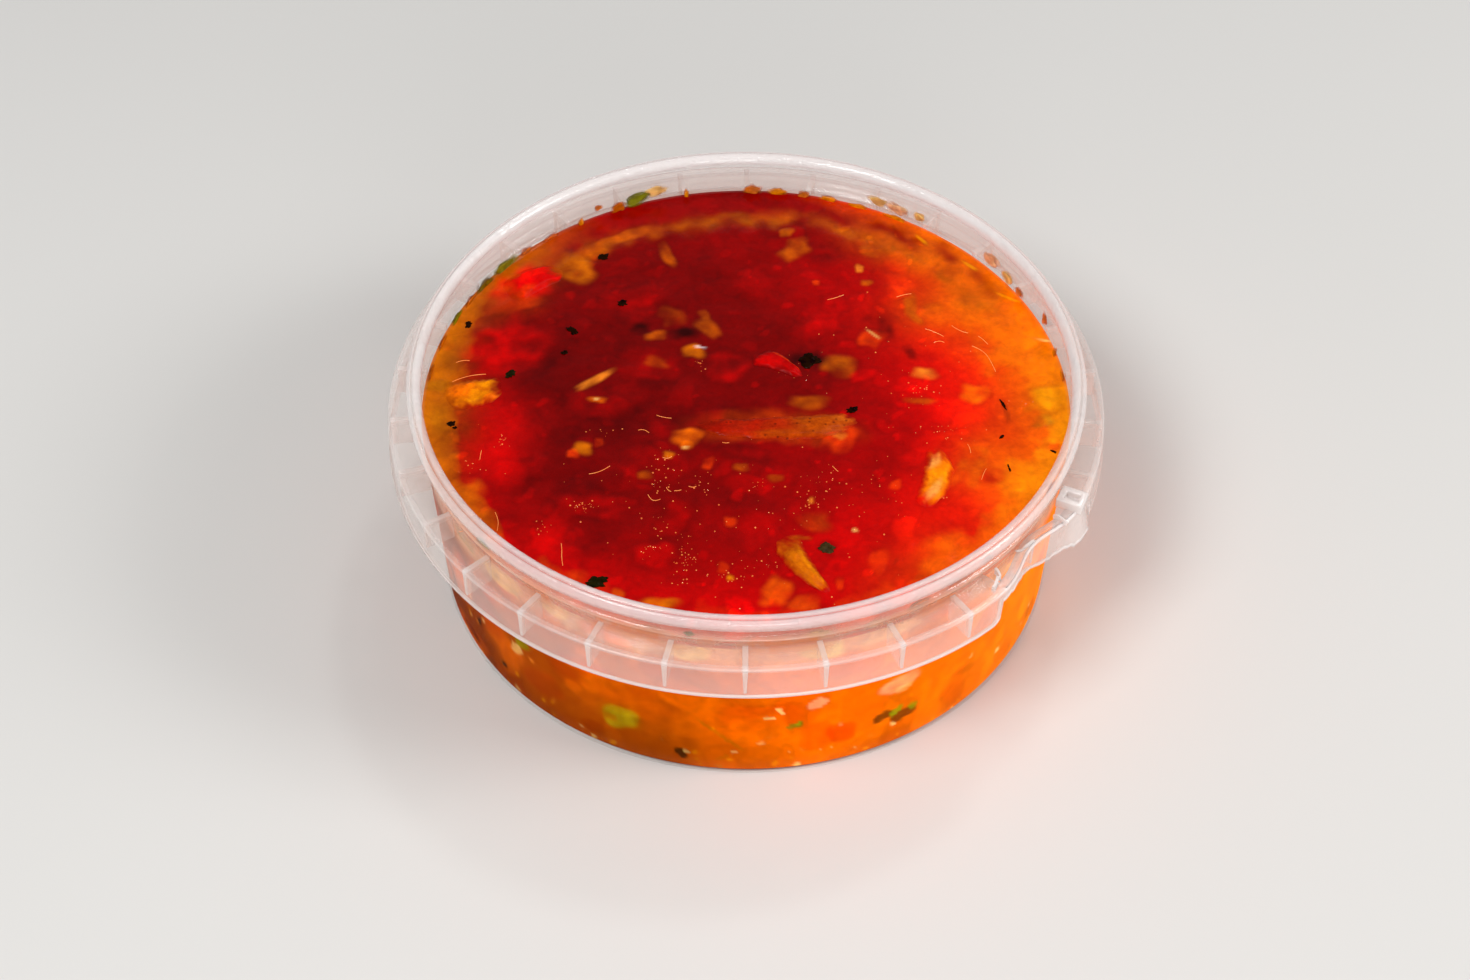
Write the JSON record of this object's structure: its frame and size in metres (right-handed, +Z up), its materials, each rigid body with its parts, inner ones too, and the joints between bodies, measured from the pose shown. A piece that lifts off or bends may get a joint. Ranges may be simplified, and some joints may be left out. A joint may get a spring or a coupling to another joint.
{
  "type": "pico de gallo in a plastic tub",
  "caption": "Open round tub of clear plastic with a ribbed skirt under its rim, its tear tab half torn off, filled with red chopped vegetable salsa.",
  "frame": {"origin": "centre of the base's underside, on the surface the tub stands on", "axes": "+Z up out of the open top, -Y towards the picture's camera, +X to the right in the picture"},
  "size_m": [0.1192, 0.1192, 0.0411],
  "materials": {
    "tub_plastic": "clear, slightly milky moulded plastic",
    "salsa": "wet, glossy",
    "pale_pepper": "wet, speckled",
    "onion": "wet, pale",
    "green_pepper": "wet",
    "yellow_pepper": "wet",
    "tomato": "wet",
    "red_pepper": "wet"
  },
  "bodies": {
    "root": {"tub": "tub_plastic", "salsa": "salsa", "pale_strip": "pale_pepper", "onion_slab": "onion", "pepper_sliver": "green_pepper", "yellow_chunk": "yellow_pepper", "tomato_chunk": "tomato", "red_wedge": "red_pepper"}
  },
  "joints": []
}
